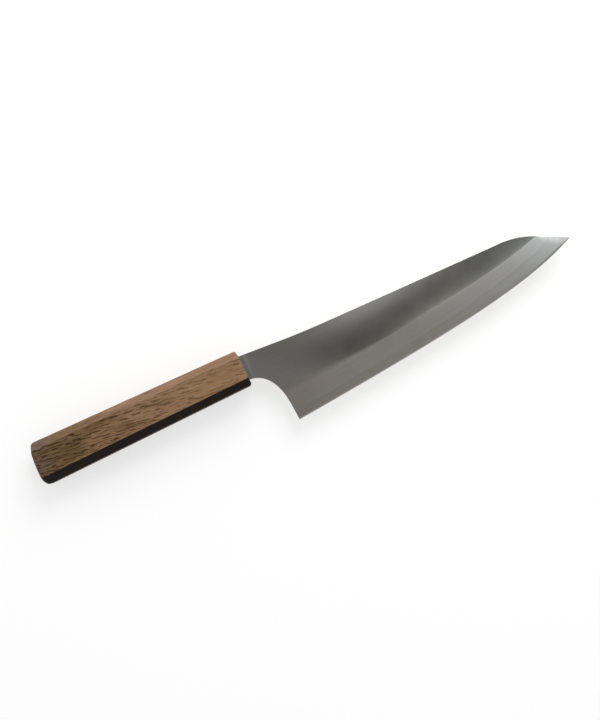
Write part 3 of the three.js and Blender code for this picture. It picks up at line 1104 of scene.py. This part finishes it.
@dataclass
class RingShape:
    """Octagons with sloping corner facets and rounded corners, as arrays in millimetres.

    Attributes:
        top: height of the top facet.
        bottom: height of the bottom facet.
        half_width: distance of the side facets from the middle.
        chamfer: how much each 45 degree facet cuts off.
        rounding: radius of the corners between facets.
    """

    top: Array
    bottom: Array
    half_width: Array
    chamfer: Array
    rounding: Array

    FACET_POINTS = 7
    ARC_POINTS = 5
    MOST_TRIM = 0.499  # share of a facet that one corner's rounding may take

    def at(self, x: Array) -> Array:
        """Sets rings at their places: corners are a parabola's arcs between facets, which run straight.

        Args:
            x: place of each ring.

        Returns:
            Grid of rings, points and x, y, z.
        """
        top, bottom, half, cut = self.top, self.bottom, self.half_width, self.chamfer
        y = np.stack([top, top - cut, bottom + cut, bottom, bottom, bottom + cut, top - cut, top], axis=-1)
        z = np.stack([half - cut, half, half, half - cut, cut - half, -half, -half, cut - half], axis=-1)
        corner = np.stack([y, z], axis=-1)
        back = np.roll(corner, 1, axis=1) - corner
        ahead = np.roll(corner, -1, axis=1) - corner
        back_long = np.linalg.norm(back, axis=-1, keepdims=True)
        ahead_long = np.linalg.norm(ahead, axis=-1, keepdims=True)
        trim = self.rounding[:, None, None] * math.tan(math.pi / 8.0)
        trim = np.minimum(trim, np.minimum(back_long, ahead_long) * self.MOST_TRIM)
        start = (corner + back / back_long * trim)[:, :, None]
        end = (corner + ahead / ahead_long * trim)[:, :, None]
        turn = np.linspace(0.0, 1.0, self.ARC_POINTS)[:, None]
        arc = (1.0 - turn) ** 2 * start + 2.0 * turn * (1.0 - turn) * corner[:, :, None] + turn**2 * end
        run = np.linspace(0.0, 1.0, self.FACET_POINTS + 2)[1:-1, None]
        straight = end + (np.roll(start, -1, axis=1) - end) * run
        rings = np.concatenate([arc, straight], axis=2).reshape(len(corner), -1, 2)
        across = np.broadcast_to(x[:, None, None], (*rings.shape[:2], 1))
        return np.concatenate([across, rings], axis=-1)

    @classmethod
    def facets(cls) -> list[Facet]:
        """Facet of each step round a ring: a corner's arc belongs half to each neighbour.

        Returns:
            The facets, one for each step.
        """
        order = list(Facet)
        half = cls.ARC_POINTS // 2
        steps: list[Facet] = []
        for facet, after in zip(order, order[1:] + order[:1]):
            steps += [facet] * half + [after] * (cls.ARC_POINTS - half + cls.FACET_POINTS)
        return steps


@dataclass
class Handle:
    """One-piece octagonal handle with its bore and mouth, in millimetres."""

    length: float = 140.8
    half_thickness: float = 10.5
    height: Pair = (23.5, 27.8)  # at the front and at the butt, as the next two
    chamfer: Pair = (4.5, 5.2)
    end_rounding: Pair = (1.5, 3.3)
    corner_rounding: Pair = (0.7, 0.5)  # along the facets, and gained for each millimetre in at a rim
    skin: float = 0.15  # lacquer over the front face and the liner's end
    skin_back: float = 0.05
    front_softening: float = 0.25  # how far the upper facets fall back at the front
    front_swell: float = 0.4  # how far the lower facets stand forward at the front
    front_softened: Pair = (6.8, 11.0)  # heights, up and down, between which both come in
    front_run: float = 4.0
    butt_lean: float = 0.06  # lean of the butt's face, per millimetre of height
    butt_lean_from: float = -1.5
    butt_lean_run: float = 14.0
    butt_crown: float = 0.4
    butt_crown_at: float = 1.5
    butt_crown_reach: float = 9.0
    butt_softening: float = 1.0  # how far the lower facets fall back at the butt
    butt_softened: Pair = (9.0, 14.0)  # depths between which it comes in
    butt_run: float = 5.0
    mouth_top: float = 9.0
    mouth_bottom: float = -9.5
    mouth_half: float = 2.0
    mouth_chamfer: float = 0.5
    mouth_rounding: float = 0.8
    mouth_depth: float = 12.3
    mouth_step: float = 0.3
    bore_radius: float = 6.96
    bore_depth: float = 98.6

    OAK, BLACK, END_GRAIN = range(3)
    # Rings of the front rim, body and butt's rim, rows on the end faces, and the butt's rings of end grain
    FRONT, BODY, BUTT, FRONT_ROWS, BUTT_ROWS, SAWN_RINGS = 8, 40, 12, 6, 9, 3

    def body_rings(self) -> Array:
        """Outer rings as a grid: quarter-round front rim, straight taper and quarter-round butt.

        Returns:
            Grid of rings, points and x, y, z.
        """
        front_round, butt_round = self.end_rounding
        front = np.linspace(0.0, math.pi / 2.0, self.FRONT)
        butt = np.linspace(math.pi / 2.0, 0.0, self.BUTT)
        body = np.linspace(-front_round, butt_round - self.length, self.BODY)[1:-1]
        x = np.concatenate([
            self.skin - (front_round + self.skin) * (1.0 - np.cos(front)), body,
            butt_round * (1.0 - np.cos(butt)) - self.length])
        inset = np.concatenate([
            front_round * (1.0 - np.sin(front)), 0.0 * body, butt_round * (1.0 - np.sin(butt))])
        share = np.clip(-x / self.length, 0.0, 1.0)
        height = np.interp(share, (0.0, 1.0), self.height) / 2.0 - inset
        chamfer = np.interp(share, (0.0, 1.0), self.chamfer) - inset * (2.0 - math.sqrt(2.0))
        rounding = self.corner_rounding[0] + self.corner_rounding[1] * inset
        return RingShape(height, -height, self.half_thickness - inset, chamfer, rounding).at(x)

    def hollow_rings(self) -> Array:
        """Rings of the mouth and the bore as a grid, from the front face inwards.

        Returns:
            Grid of rings, points and x, y, z.
        """
        radius, depth = self.bore_radius, self.mouth_depth
        x = np.array([
            self.skin, self.skin_back, self.skin_back, -depth, -depth - self.mouth_step, -self.bore_depth])
        top = np.array([self.mouth_top] * 4 + [radius] * 2)
        bottom = np.array([self.mouth_bottom] * 4 + [-radius] * 2)
        half = np.array([self.mouth_half] * 2 + [radius] * 4)
        chamfer = np.array([self.mouth_chamfer] * 2 + [radius * (2.0 - math.sqrt(2.0))] * 4)
        rounding = np.array([self.mouth_rounding] * 2 + [radius] * 4)
        return RingShape(top, bottom, half, chamfer, rounding).at(x)

    def shift(self, along: Array, height: Array, outside: Array) -> Array:
        """How far points move along the handle to shape its ends.

        The butt leans in proportion to the height, is crowned by a parabola and falls back below by a soft
        step. The front swells below and falls back above by soft steps. All of it fades along the handle.

        Args:
            along: places along the handle, in rows of rings.
            height: heights there.
            outside: whether each row is past the hollow.

        Returns:
            The shifts.
        """
        lean = self.butt_lean * (height - self.butt_lean_from)
        crown = np.clip(1.0 - ((height - self.butt_crown_at) / self.butt_crown_reach) ** 2, 0.0, None)
        fall = self.butt_softening * soft_step(-height, *self.butt_softened)
        swell = self.front_swell * soft_step(-height, *self.front_softened)
        swell = swell - self.front_softening * soft_step(height, *self.front_softened)
        return (
            lean * soft_step(-along, self.length - self.butt_lean_run, self.length)
            + (fall - self.butt_crown * crown) * soft_step(-along, self.length - self.butt_run, self.length)
            + swell * soft_step(along, -self.front_run, 0.0) * outside)

    def sheet(self) -> Sheet:
        """Closed handle: bore, mouth, front face, facets and butt as one run of rings.

        Returns:
            The sheet, with marks for the cut across the dashes, the way up from the black rim and the way
            to the butt.
        """
        body = self.body_rings()
        hollow = self.hollow_rings()[::-1]
        bore_end = np.repeat(hollow[:1].mean(axis=1, keepdims=True), hollow.shape[1], axis=1)
        mouth, rim = hollow[-1:], body[:1]
        front = mouth + (rim - mouth) * np.linspace(0.0, 1.0, self.FRONT_ROWS)[1:-1, None, None]
        centre = body[-1:].mean(axis=1, keepdims=True)
        butt = centre + (body[-1:] - centre) * np.linspace(1.0, 0.0, self.BUTT_ROWS)[1:, None, None]
        grid = np.concatenate([bore_end, hollow, front, body, butt])
        row = np.arange(len(grid))[:, None]
        grid[:, :, 0] += self.shift(grid[:, :, 0], grid[:, :, 1], row > len(hollow))

        facets = RingShape.facets()
        black = np.array([facet.black for facet in facets])
        rims = [int(np.argmax(black)), -int(np.argmax(black[::-1]))]
        steps = np.linalg.norm(np.roll(body, -1, axis=1) - body, axis=-1)
        girth = np.cumsum(steps, axis=1) - steps
        up = np.abs(girth[:, :, None] - girth[:, None, rims]).min(axis=-1)
        before = len(grid) - len(body) - len(butt)
        marks = {
            "cut": np.broadcast_to([facet.cut for facet in facets], grid.shape[:2]),
            "rim": np.pad(up, ((before, len(butt)), (0, 0)), mode="edge"),
            "butt": np.clip(-grid[:, :, 0] / self.length, 0.0, 1.0),
        }
        sheet = Sheet.from_grid(grid, closed=True, marks=marks)
        sawn = (row < before) | (row >= before + len(body) - self.SAWN_RINGS)
        finish = np.where(sawn, self.END_GRAIN, np.where(black, self.BLACK, self.OAK))
        sheet.finish = np.repeat(finish[:-1].reshape(-1), 2)
        return sheet

    def piece(self) -> Piece:
        """Builds and dresses the handle."""
        finishes = [LacqueredOak().build(), BlackLacquer().build(), OakEndGrain().build()]
        return Piece("oak_handle", self.sheet(), finishes, "handle_body", "lacquered_oak")


@dataclass
class Seal:
    """Bead of resin that closes the mouth round the neck, in millimetres."""

    top: float = 8.15
    bottom: float = -8.2
    bottom_spread: float = 1.4  # how much wider the bead is below the neck
    half: float = 1.2
    chamfer: Pair = (0.25, 0.4)  # at the neck, and gained for each millimetre out, as the next
    rounding: Pair = (0.2, 0.5)
    # Bead's section: how far out from the neck and how far in front of the handle
    section: Line = (
        (0.02, 0.55), (0.16, 0.52), (0.34, 0.44), (0.56, 0.32), (0.8, 0.21), (0.95, 0.17),
        (0.9, 0.12), (0.7, 0.1), (0.7, -2.5), (0.02, -2.5), (0.02, 0.55))

    def piece(self) -> Piece:
        """Carries the section round the neck's outline, and dresses the bead.

        Returns:
            The bead.
        """
        out, x = np.array(self.section).T
        chamfer, rounding = (start + gain * out for start, gain in (self.chamfer, self.rounding))
        bottom = self.bottom - self.bottom_spread * out
        shape = RingShape(self.top + out, bottom, self.half + out, chamfer, rounding)
        bead = Sheet.from_grid(shape.at(x), closed=True)
        finish = SetResin("Sealing resin, smoothed", "#565b60", "#43484d", 0.45).build()
        return Piece("seal_bead", bead, [finish], "mouth_seal", "seal_resin")


@dataclass
class InnerPieces:
    """Liner and resin bed inside the handle, which keep their own solids."""

    finishes: dict[str, Finish] = field(default_factory=lambda: {
        "tang_liner": TurnedSoftwood(),
        "tang_adhesive": SetResin("Epoxy resin, poured and set", "#c6b27f", "#a88f55", 0.3),
    })

    def dress(self, nodes: dict[str, bpy.types.Object]) -> None:
        """Gives each kept solid its material.

        Args:
            nodes: the frame's objects by name.
        """
        for name, finish in self.finishes.items():
            mesh = nodes[name].data
            mesh.materials.clear()
            mesh.materials.append(finish.build())
            LOG.info("%s: dressed as %s", name, finish.name)


class Blend(Enum):
    """How a patch of the ceiling changes its light."""

    LIGHTER = "ADD"
    DARKER = "MULTIPLY"


@dataclass(frozen=True)
class CeilingPatch:
    """A soft oval on the ceiling that the steel mirrors.

    Attributes:
        centre: its direction's x and y.
        reach: half its length and width, as shares of the way to the horizon.
        turn_deg: turn of its long axis from x.
        blend: whether it adds light or takes it away.
        light: light that it adds, or share that it leaves.
        tint: its colour.
    """

    centre: Pair
    reach: Pair
    turn_deg: float
    blend: Blend
    light: float
    tint: str = "#ffffff"

    def colour(self) -> tuple[float, ...]:
        """Its light in its tint, linear, with a full alpha."""
        return (*(self.light * part for part in linear(self.tint)[:3]), 1.0)


@dataclass
class Studio:
    """Floor, light and camera round the knife, in metres where nothing else is said."""

    floor_half: float = 20.0
    floor_colour: str = "#b4b4b4"
    floor_glow: float = 0.63
    near_wall: str = "#cbcac8"
    far_wall: str = "#ffffff"
    far_from: Pair = (-0.7, 0.5)  # parts along y of directions where the near wall turns into the far one
    ceiling: str = "#8b8b8b"
    ceiling_from: Pair = (0.4, 0.95)  # upward parts of the directions where the wall turns into the ceiling
    backdrop: str = "#f2f2f2"  # as the far floor looks, so that no horizon shows; gloss mirrors it too
    backdrop_to: Pair = (0.1, 0.3)  # upward parts of the directions where its mirror image fades
    patches: tuple[CeilingPatch, ...] = (
        CeilingPatch((0.415, 0.005), (0.18, 0.075), -9.0, Blend.LIGHTER, 1.7, "#e8f1ff"),
        CeilingPatch((0.44, 0.14), (0.12, 0.13), 0.0, Blend.LIGHTER, 3.0, "#f0f6ff"),
        CeilingPatch((0.195, 0.1), (0.115, 0.05), 0.0, Blend.LIGHTER, 1.45, "#f6f8ff"),
        CeilingPatch((-0.07, 0.12), (0.365, 0.07), -43.0, Blend.LIGHTER, 0.46, "#eef2ff"),
        CeilingPatch((0.22, 0.02), (0.11, 0.07), -41.0, Blend.LIGHTER, 0.9),
        CeilingPatch((0.2, 0.06), (0.205, 0.11), 18.0, Blend.DARKER, 0.085),
        CeilingPatch((-0.01, 0.005), (0.115, 0.335), 11.0, Blend.DARKER, 0.36),
        CeilingPatch((0.365, -0.042), (0.095, 0.048), 0.0, Blend.DARKER, 0.5),
        CeilingPatch((0.23, -0.05), (0.07, 0.05), 0.0, Blend.DARKER, 0.86),
        CeilingPatch((0.32, 0.085), (0.06, 0.035), 0.0, Blend.DARKER, 0.7, "#f4f6ff"),
        CeilingPatch((0.165, 0.095), (0.09, 0.035), 0.0, Blend.LIGHTER, 0.1, "#f6f8ff"),
        CeilingPatch((-0.08, 0.075), (0.07, 0.2), 0.0, Blend.LIGHTER, 0.07, "#eef2ff"),
        CeilingPatch((0.09, -0.06), (0.13, 0.12), 0.0, Blend.LIGHTER, 0.05, "#ff9438"),
        CeilingPatch((0.4, -0.35), (0.8, 0.25), 0.0, Blend.LIGHTER, 0.5),
    )
    camera_mm: Triple = (-9.733, -46.076, 631.432)
    camera_right: Triple = (0.901483, -0.431043, 0.039109)
    camera_up: Triple = (0.427110, 0.900585, 0.080766)
    camera_back: Triple = (-0.070035, -0.056105, 0.995966)
    lens_mm: float = 50.0
    sensor_mm: float = 36.0
    nearest: float = 0.01
    key_place: Triple = (0.6, 0.8, 0.8)
    key_aim: Triple = (0.0, 0.0, 0.0)
    key_size: float = 0.9
    key_watts: float = 8.7

    def floor(self) -> None:
        """Lays a pale floor that keeps the knife's shadow and reads as white to the camera and in gloss."""
        material = bpy.data.materials.new("Pale matt paper")
        node = cleared(material)
        path = node("LightPath").node.outputs
        seen = path["Is Camera Ray"]
        for ray in ("Is Glossy Ray", "Is Transmission Ray"):
            seen = node("Math", {0: seen, 1: path[ray]}, operation="MAXIMUM")
        glow = node("Math", {0: seen, 1: self.floor_glow}, operation="MULTIPLY")
        paper = node("BsdfDiffuse", {"Color": self.floor_colour})
        both = node("AddShader", {0: paper, 1: node("Emission", {"Strength": glow})})
        node("OutputMaterial", {"Surface": both})
        corners = np.array([(-1.0, -1.0, 0.0), (1.0, -1.0, 0.0), (1.0, 1.0, 0.0), (-1.0, 1.0, 0.0)])
        mesh = bpy.data.meshes.new("floor")
        mesh.from_pydata(corners * self.floor_half, [], [(0, 1, 2, 3)])
        mesh.materials.append(material)
        floor = bpy.data.objects.new("floor", mesh)
        bpy.context.scene.collection.objects.link(floor)

    def sky(self) -> None:
        """Lights the room: a wall, pale beyond the spine, dimmer before it, and a dim ceiling with patches.

        The camera sees a plain backdrop instead, and so does gloss near the horizon.
        """
        world = bpy.data.worlds.new("Studio")
        node = cleared(world)
        way = node("TexCoord", out="Generated")
        parts = node("SeparateXYZ", {"Vector": way}).node.outputs
        colour = self.near_wall
        for part, over, edge in (
            ("Y", self.far_wall, self.far_from), ("Z", self.ceiling, self.ceiling_from),
        ):
            share = node("MapRange", {"Value": parts[part], **limits("From", edge)}, **SMOOTH)
            colour = node("Mix", {FACTOR: share, UNDER: colour, OVER: over}, **MIX)
        for patch in self.patches:
            local = node("Mapping", {
                "Vector": way, "Location": (*patch.centre, 0.0), "Scale": (*patch.reach, FLATTEN),
                "Rotation": (0.0, 0.0, math.radians(patch.turn_deg))}, vector_type="TEXTURE")
            oval = node("TexGradient", {"Vector": local}, "Fac", gradient_type="SPHERICAL")
            glow = node("MapRange", {"Value": oval}, **SMOOTH)
            layer = {FACTOR: glow, UNDER: colour, OVER: patch.colour()}
            colour = node("Mix", layer, **MIX, blend_type=patch.blend.value)
        path = node("LightPath").node.outputs
        low = node("MapRange", {
            "Value": parts["Z"], **limits("From", self.backdrop_to), **limits("To", (1.0, 0.0))}, **SMOOTH)
        gloss = node("Math", {0: path["Is Glossy Ray"], 1: path["Is Transmission Ray"]}, operation="MAXIMUM")
        mirrored = node("Math", {0: gloss, 1: low}, operation="MULTIPLY")
        seen = node("Math", {0: path["Is Camera Ray"], 1: mirrored}, operation="MAXIMUM")
        shown = node("Mix", {FACTOR: seen, UNDER: colour, OVER: self.backdrop}, **MIX)
        node("OutputWorld", {"Surface": node("Background", {"Color": shown, "Strength": 1.0})})
        bpy.context.scene.world = world

    def lamp(self) -> None:
        """Hangs the soft key lamp beyond the spine, towards the tip."""
        light = bpy.data.lights.new("key", "AREA")
        light.shape = "DISK"
        light.size = self.key_size
        light.energy = self.key_watts
        lamp = bpy.data.objects.new("key", light)
        lamp.location = self.key_place
        aim = Vector(self.key_aim) - Vector(self.key_place)
        lamp.rotation_euler = aim.to_track_quat("-Z", "Y").to_euler()
        lamp.visible_camera = False
        bpy.context.scene.collection.objects.link(lamp)

    def camera(self, datum: Datum) -> None:
        """Sets the camera that sees the knife as the photograph does.

        Args:
            datum: where the knife lies.
        """
        lens = bpy.data.cameras.new("camera")
        lens.lens = self.lens_mm
        lens.sensor_width = self.sensor_mm
        lens.clip_start = self.nearest
        camera = bpy.data.objects.new("camera", lens)
        turn = Matrix((self.camera_right, self.camera_up, self.camera_back)).transposed()
        place = datum.place(np.array(self.camera_mm))
        camera.matrix_world = Matrix.Translation(Vector(place)) @ turn.to_4x4()
        bpy.context.scene.collection.objects.link(camera)
        bpy.context.scene.camera = camera

    def build(self, datum: Datum) -> None:
        """Sets up the floor, the light and the camera.

        Args:
            datum: where the knife lies.
        """
        bpy.context.scene.view_settings.view_transform = "Standard"
        self.floor()
        self.sky()
        self.lamp()
        self.camera(datum)


def main() -> None:
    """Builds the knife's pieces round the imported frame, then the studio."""
    logging.basicConfig(level=logging.INFO, format="%(message)s")
    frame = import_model()
    datum = Datum.from_frame()
    for piece in (*Blade().pieces(), Handle().piece(), Seal().piece()):
        piece.put(datum)
    InnerPieces().dress(frame["nodes"])
    Studio().build(datum)


if __name__ == "__main__":
    main()
